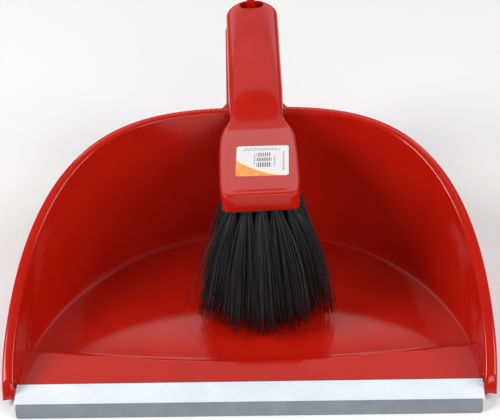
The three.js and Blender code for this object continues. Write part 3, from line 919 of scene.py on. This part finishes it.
def hole_cutter():
    """All the tuft holes, a little countersunk, as one cutter."""
    sides = 20
    vertices = []
    faces = []
    for row, column in each_tuft():
        root, tip, tip_z = tuft_line(row, column)
        lean = (tip - root) / (BLOCK_BOTTOM - tip_z)
        wide = HOLE_RADIUS + COUNTERSINK
        levels = [(-1.0, wide), (0.0, wide), (COUNTERSINK, HOLE_RADIUS), (HOLE_DEPTH, HOLE_RADIUS)]
        first = len(vertices)
        for rise, radius in levels:
            center = root - lean * rise
            for i in range(sides):
                angle = 2 * math.pi * i / sides
                x = center[0] + radius * math.cos(angle)
                y = center[1] + radius * math.sin(angle)
                vertices.append((x, y, BLOCK_BOTTOM + rise))
        faces += tube_faces(len(levels), sides, first)
    piece = new_piece("hole_cutter", in_brush(np.array(vertices)), faces)
    face_outwards(piece)
    return piece


def brush_body():
    """Block, neck and handle in one moulding, with the hanging slot and the tuft holes cut out."""
    stations = 170
    around = 96
    rows = []
    for i in range(stations + 1):
        share = i / stations
        crowded = (1 - math.cos(math.pi * share)) / 2
        y = BLOCK_FRONT + (HANDLE_END - BLOCK_FRONT) * (0.35 * share + 0.65 * crowded)
        rows.append(brush_section(y, around))
    body = tube_solid("brush_moulding", in_brush(np.array(rows)))
    cut(body, slot_cutter())
    cut(body, hole_cutter())
    smooth(body, 38)
    return body


# -------- bristles
STRANDS = 120  # in a tuft: 60 filaments, each folded in half
STRAND_STEPS = 8
STRAND_SIDES = 3
STRAND_RADIUS = (0.19, 0.27)
STRAND_TAPER = 0.45  # the share of its radius that a strand loses by its tip
ROOT_RADIUS = 2.25
SUNK = 5.0  # how far a strand goes up into its hole
TIP_SPREAD = (11.5, 8.0)  # across and along the brush
TIP_SPREAD_BEHIND = 6.0  # across the brush, in its backmost tufts
TIP_NARROWING = 0.3  # the share of the fan's width that is lost by its back
TIP_SCATTER = 1.2
TIP_UNEVENNESS = 3.0
DOME = 2.5  # how much higher a tuft's outer tips are than its middle ones
FLOOR_GAP = 2.6  # height of the longest filaments' tips, just over the pan's floor
TIP_RISE_KEPT = 0.3  # the share of their tufts' height over it that the tips keep
FRONT_SWEEP = 4.0  # how much further the frontmost tips reach to the front
BEHIND = (75.0, TIP_BACK)  # over this stretch the tufts narrow towards the back
BEND_SHARE = 0.62  # of the way out that a strand has gone where it bends
BEND_DEPTH = 0.37  # of the fall at which it bends
BEND_SCATTER = 0.8
MIDDLE_OPENING = 1.05  # how far a strand opens out where it bends, as a share of its spread
OUTER_OPENING = (0.6, 0.35)  # the same on a tuft's outer side, in the front and in the back
RIGHT_PULL = 0.14  # the strands on the brush's right side bend out a little more
STRAYS = 0.03  # share of the strands that stick out
STRAY_SPREAD = 0.8
STRAY_RISE = (6, 16)


def scatter(dice, amount):
    return np.array([dice.gauss(0, amount), dice.gauss(0, amount)])


def strand_path(dice, root, tip, tip_z):
    """One strand: out of the hole, then spreading quickly and bending down towards its tip."""
    spin = dice.uniform(0, 2 * math.pi)
    reach = math.sqrt(dice.random())
    start = root + ROOT_RADIUS * reach * np.array([math.cos(spin), math.sin(spin)])
    behind = min(max((tip[1] - BEHIND[0]) / (BEHIND[1] - BEHIND[0]), 0), 1)
    tip = tip * np.array([1 - TIP_NARROWING * behind, 1])
    across = TIP_SPREAD[0] - (TIP_SPREAD[0] - TIP_SPREAD_BEHIND) * behind
    spread = np.array([across * math.cos(spin), TIP_SPREAD[1] * math.sin(spin)]) * reach
    end = tip + spread + scatter(dice, TIP_SCATTER)
    end[1] -= FRONT_SWEEP * max(100 - tip[1], 0) / 34
    end_z = FLOOR_GAP + (tip_z - FLOOR_GAP) * TIP_RISE_KEPT + DOME * reach * reach
    end_z += dice.uniform(0.0, TIP_UNEVENNESS)
    if dice.random() < STRAYS:
        end += spread * STRAY_SPREAD
        end_z += dice.uniform(*STRAY_RISE)
    fall = BLOCK_BOTTOM - end_z
    lean = (end - start) / fall
    # Strands open out most towards the brush's middle, so that the tufts close up.
    towards_middle = spread[0] * root[0] < 0
    outer = OUTER_OPENING[0] - (OUTER_OPENING[0] - OUTER_OPENING[1]) * behind
    opening = spread * (MIDDLE_OPENING if towards_middle else outer)
    bend = start + (tip - root) * BEND_SHARE + opening + scatter(dice, BEND_SCATTER)
    bend[0] += RIGHT_PULL * (1 - behind) * max(end[0], 0)
    bend_z = BLOCK_BOTTOM - fall * BEND_DEPTH
    wobble = dice.uniform(0, 2 * math.pi)
    waver = dice.uniform(0.15, 0.6)
    points = [(*(start - lean * SUNK), BLOCK_BOTTOM + SUNK)]
    for i in range(STRAND_STEPS):
        t = i / (STRAND_STEPS - 1)
        a, b, c = (1 - t) ** 2, 2 * t * (1 - t), t * t
        flat = a * start + b * bend + c * end
        z = a * BLOCK_BOTTOM + b * bend_z + c * end_z
        sway = waver * math.sin(wobble + 7 * t) * t
        points.append((flat[0] + sway, flat[1] + sway * math.cos(wobble), z))
    return np.array(points)


def add_strand(vertices, faces, path, root_radius):
    """A thin tapering rod along a path, turned differently from its neighbours."""
    first = len(vertices)
    for i, (x, y, z) in enumerate(path):
        t = i / (len(path) - 1)
        radius = root_radius * (1 - STRAND_TAPER * t * t)
        for k in range(STRAND_SIDES):
            angle = 2 * math.pi * k / STRAND_SIDES + first
            vertices.append((x + radius * math.cos(angle), y + radius * math.sin(angle), z))
    faces += tube_faces(len(path), STRAND_SIDES, first)


def tuft(row, column):
    """One tuft of strands. Each strand carries a shade of its own for its material."""
    dice = random.Random(1000 + row * TUFT_COLUMNS + column)
    root, tip, tip_z = tuft_line(row, column)
    vertices = []
    faces = []
    shades = []
    for _ in range(STRANDS):
        path = strand_path(dice, root, tip, tip_z)
        before = len(vertices)
        add_strand(vertices, faces, path, dice.uniform(*STRAND_RADIUS))
        shades += [dice.random()] * (len(vertices) - before)
    piece = new_piece(f"tuft_strands_r{row + 1}_c{column + 1}", in_brush(np.array(vertices)), faces)
    shade = piece.data.attributes.new("strand", "FLOAT", "POINT")
    shade.data.foreach_set("value", shades)
    face_outwards(piece)
    piece.data.shade_smooth()
    return piece


# -------- label
LABEL_CENTER = (2.4, 128.0)
LABEL_SIZE = (34.5, 36.0)
LABEL_TURN = math.radians(-2.3)
LABEL_CORNER = 1.6
LABEL_THICKNESS = 0.12
LABEL_LIFT = 0.06
LABEL_CURL = 0.12  # how much further its corners stand off the block


def label_sheet():
    """A thin sticker with rounded corners that follows the block's top."""
    steps = 40
    half_x, half_y = LABEL_SIZE[0] / 2, LABEL_SIZE[1] / 2
    middle = BLOCK_BOTTOM + (BLOCK_TOP - BLOCK_BOTTOM) * WIDEST
    grid = []
    flat = []
    for j in range(steps + 1):
        v = -half_y + 2 * half_y * j / steps
        limit = half_x - rounded_end(half_y - abs(v), LABEL_CORNER)
        row = []
        for i in range(steps + 1):
            u = limit * (2 * i / steps - 1)
            x = LABEL_CENTER[0] + u * math.cos(LABEL_TURN) - v * math.sin(LABEL_TURN)
            y = LABEL_CENTER[1] + u * math.sin(LABEL_TURN) + v * math.cos(LABEL_TURN)
            across = abs(x / follow(BRUSH_HALF_WIDTH, y))
            fullness = (1 - across ** BLOCK_TOP_POWER) ** (1 / BLOCK_TOP_POWER)
            surface = middle + (BLOCK_TOP - middle) * fullness
            curl = LABEL_CURL * (abs(u) / half_x) ** 6 * (abs(v) / half_y) ** 6
            row.append((x, y, surface + LABEL_LIFT + curl + LABEL_THICKNESS))
            flat.append((u / LABEL_SIZE[0] + 0.5, v / LABEL_SIZE[1] + 0.5))
        grid.append(row)
    piece = sheet("label_sticker", in_brush(np.array(grid)))
    uv = piece.data.uv_layers.new(name="print")
    for loop in piece.data.loops:
        uv.data[loop.index].uv = flat[loop.vertex_index]
    face_up(piece)
    thicken(piece, LABEL_THICKNESS)
    smooth(piece, 50)
    return piece


def inside_box(tree, x, y, low, high):
    """1 inside a rectangle of the label, 0 outside."""
    edges = [
        (x, "GREATER_THAN", low[0]), (x, "LESS_THAN", high[0]),
        (y, "GREATER_THAN", low[1]), (y, "LESS_THAN", high[1]),
    ]
    result = None
    for source, operation, limit in edges:
        test = add_node(tree, "ShaderNodeMath", operation=operation)
        test.inputs[1].default_value = limit
        tree.links.new(source, test.inputs[0])
        passed = test.outputs[0]
        result = passed if result is None else math_node(tree, "MULTIPLY", result, passed)
    return result


def math_node(tree, operation, *values):
    """The result of an operation on numbers and on the outputs of other nodes."""
    node = add_node(tree, "ShaderNodeMath", operation=operation)
    for socket, value in zip(node.inputs, values):
        if isinstance(value, (int, float)):
            socket.default_value = value
        else:
            tree.links.new(value, socket)
    return node.outputs[0]


def mix_color(tree, mask, below, above):
    """The colour above where the mask is 1, and the colour below elsewhere."""
    node = add_node(tree, "ShaderNodeMix", data_type="RGBA")
    tree.links.new(mask, node.inputs["Factor"])
    colors = [socket for socket in node.inputs if socket.type == "RGBA"]
    for socket, value in zip(colors, (below, above)):
        if isinstance(value, tuple):
            socket.default_value = (*value, 1)
        else:
            tree.links.new(value, socket)
    return next(socket for socket in node.outputs if socket.type == "RGBA")


def stripes(tree, along, frequency, level, x, y, low, high):
    """Stripes across a rectangle of the label, where the sine of along is over a level."""
    wave = math_node(tree, "SINE", math_node(tree, "MULTIPLY", along, frequency))
    marks = math_node(tree, "GREATER_THAN", wave, level)
    return math_node(tree, "MULTIPLY", marks, inside_box(tree, x, y, low, high))


LABEL_WHITE = (0.83, 0.80, 0.81)
LABEL_DARK = (0.10, 0.10, 0.12)
LABEL_GREY = (0.22, 0.21, 0.25)
# Blocks of bars as (frequency, level, lower corner, upper corner), and rows of dashes between two
# corners, in shares of the label.
PRINTED_BARS = [
    (150.0, -0.2, (0.39, 0.29), (0.67, 0.44)),
    (190.0, -0.2, (0.39, 0.48), (0.67, 0.60)),
    (150.0, 0.0, (0.39, 0.64), (0.67, 0.77)),
]
PRINTED_LINES = [
    ((0.1, 0.85), (0.84, 0.875)), ((0.14, 0.9), (0.78, 0.925)), ((0.89, 0.16), (0.915, 0.8)),
    ((0.34, 0.36), (0.36, 0.74)), ((0.72, 0.3), (0.74, 0.66)),
]


def printed_label():
    """White sticker with an orange sweep in a corner, three blocks of bars and rows of dashes."""
    material, tree, shader = node_material("label_paper")
    place = add_node(tree, "ShaderNodeUVMap", uv_map="print")
    split = add_node(tree, "ShaderNodeSeparateXYZ")
    tree.links.new(place.outputs["UV"], split.inputs[0])
    x, y = split.outputs["X"], split.outputs["Y"]

    fall = math_node(tree, "POWER", math_node(tree, "SUBTRACT", 1.0, x), 1.9)
    sweep_limit = math_node(tree, "MULTIPLY_ADD", fall, 0.52, -0.005)
    sweep = math_node(tree, "LESS_THAN", y, sweep_limit)
    tint = noise(tree, 120, detail=2)
    orange = color_ramp(tree, tint, [(0.3, (0.80, 0.26, 0.035)), (0.7, (0.92, 0.42, 0.10))])
    color = mix_color(tree, sweep, LABEL_WHITE, orange)
    for frequency, level, low, high in PRINTED_BARS:
        bars = stripes(tree, x, frequency, level, x, y, low, high)
        color = mix_color(tree, bars, color, LABEL_DARK)
    both = math_node(tree, "ADD", x, y)
    for low, high in PRINTED_LINES:
        dashes = stripes(tree, both, 75.0, -0.45, x, y, low, high)
        color = mix_color(tree, dashes, color, LABEL_GREY)
    tree.links.new(color, shader.inputs["Base Color"])
    fibre = noise(tree, 900, detail=4)
    roughen(tree, shader, fibre, 0.3, 0.7, 0.32, 0.45)
    bump(tree, shader, fibre, 0.08, 0.0002)
    return material


# -------- anchors inside the block
def tuft_anchors():
    """The short flat wires that each tuft is folded over, deep in its hole."""
    wires = []
    for row, column in each_tuft():
        root, tip, tip_z = tuft_line(row, column)
        lean = (tip - root) / (BLOCK_BOTTOM - tip_z)
        middle = root - lean * 7
        wires.append(rounded_box("wire", middle, ANCHOR_HALF_SIZES, ANCHOR_HEIGHTS, 0.12, in_brush))
    anchors = join("tuft_anchors", wires)
    smooth(anchors)
    return anchors


# -------- stage
def make_floor():
    """A plain pale floor, 12 metres across."""
    corners = [(-6, -6, 0), (6, -6, 0), (6, 6, 0), (-6, 6, 0)]
    floor = new_piece("stage_floor", corners, [(0, 1, 2, 3)])
    material, _, shader = node_material("stage_floor")
    shader.inputs["Base Color"].default_value = (0.92, 0.92, 0.92, 1)
    shader.inputs["Roughness"].default_value = 0.9
    shader.inputs["Specular IOR Level"].default_value = 0.1
    floor.data.materials.append(material)


def area_light(name, place, aim_height, size, power):
    """A white softbox that faces the object at aim_height. Its power is in watts."""
    light = bpy.data.lights.new(name, "AREA")
    light.shape = "RECTANGLE"
    light.size, light.size_y = size
    light.energy = power
    lamp = bpy.data.objects.new(name, light)
    bpy.context.scene.collection.objects.link(lamp)
    lamp.location = place
    facing = Vector((0, 0, aim_height)) - Vector(place)
    lamp.rotation_euler = facing.to_track_quat("-Z", "Y").to_euler()


def make_world():
    """A dim white room around the object, so that the lights give its shape."""
    world = bpy.data.worlds.new("studio")
    bpy.context.scene.world = world
    world.use_nodes = True
    background = world.node_tree.nodes["Background"]
    background.inputs["Color"].default_value = (1, 1, 1, 1)
    background.inputs["Strength"].default_value = 0.18


def make_lights():
    """Soft side lights for the pan's walls, a front light, and softboxes behind to reflect."""
    area_light("side_left", (-1.35, -0.25, 1.0), 0.05, (0.8, 0.8), 21)
    area_light("side_right", (1.35, -0.25, 1.0), 0.05, (0.8, 0.8), 12.5)
    area_light("front", (0.4, -1.3, 0.75), 0.05, (0.9, 0.5), 6.5)
    area_light("behind", (0, 1.45, 0.95), 0.08, (2.2, 0.5), 5)
    area_light("behind_high", (0, 1.05, 1.5), 0.08, (2.4, 0.6), 3.2)


def plain_colours():
    """Colours are shown as they are lit, with no film curve, for a deep and saturated red."""
    bpy.context.scene.view_settings.view_transform = "Standard"


def make_camera():
    """A long lens above the lip, turned a little to the right and rolled a little."""
    elevation = math.radians(34.56)
    turn = math.radians(3.47)
    roll = math.radians(3.09)
    distance = 1.0
    aim = Vector(in_pan((0.6, 114.6, 65.6)))
    data = bpy.data.cameras.new("camera")
    data.lens = 109.4
    data.sensor_width = 36
    camera = bpy.data.objects.new("camera", data)
    bpy.context.scene.collection.objects.link(camera)
    facing = (
        Matrix.Rotation(turn, 4, "Z")
        @ Matrix.Rotation(math.pi / 2 - elevation, 4, "X")
        @ Matrix.Rotation(-roll, 4, "Z")
    )
    camera.matrix_world = Matrix.Translation(aim) @ facing @ Matrix.Translation((0, 0, distance))
    bpy.context.scene.camera = camera


# -------- put together
def finish_piece(piece, material, body, slot, *nodes):
    """Gives a piece its material, and says what it moves with and which CAD nodes it replaces."""
    piece.data.materials.clear()
    piece.data.materials.append(material)
    if nodes:
        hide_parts(*nodes)
    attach(piece, body)


def build():
    red = moulded_red("red_plastic", 0.09)
    brush_red = moulded_red("brush_red_plastic", 0.17)
    strand = black_filament()
    finish_piece(pan_shell(), red, "dustpan", "red_plastic", "pan_body")
    finish_piece(comb_teeth(), red, "dustpan", "red_plastic")
    finish_piece(pan_handle(), red, "dustpan", "red_plastic")
    finish_piece(ramp_ribs(), red, "dustpan", "red_plastic")
    finish_piece(lip_holder(), extruded_white(), "dustpan", "white_lip", "lip_holder")
    finish_piece(lip_blade(), soft_grey(), "dustpan", "grey_lip", "lip_blade")
    finish_piece(brush_body(), brush_red, "brush", "red_plastic", "brush_body")
    finish_piece(label_sheet(), printed_label(), "brush", "label_paper", "label")
    finish_piece(tuft_anchors(), drawn_wire(), "brush", "bristle")
    for row, column in each_tuft():
        node = f"tuft_r{row + 1}_c{column + 1}"
        finish_piece(tuft(row, column), strand, "brush", "bristle", node)


plain_colours()
make_floor()
make_world()
make_lights()
make_camera()
build()
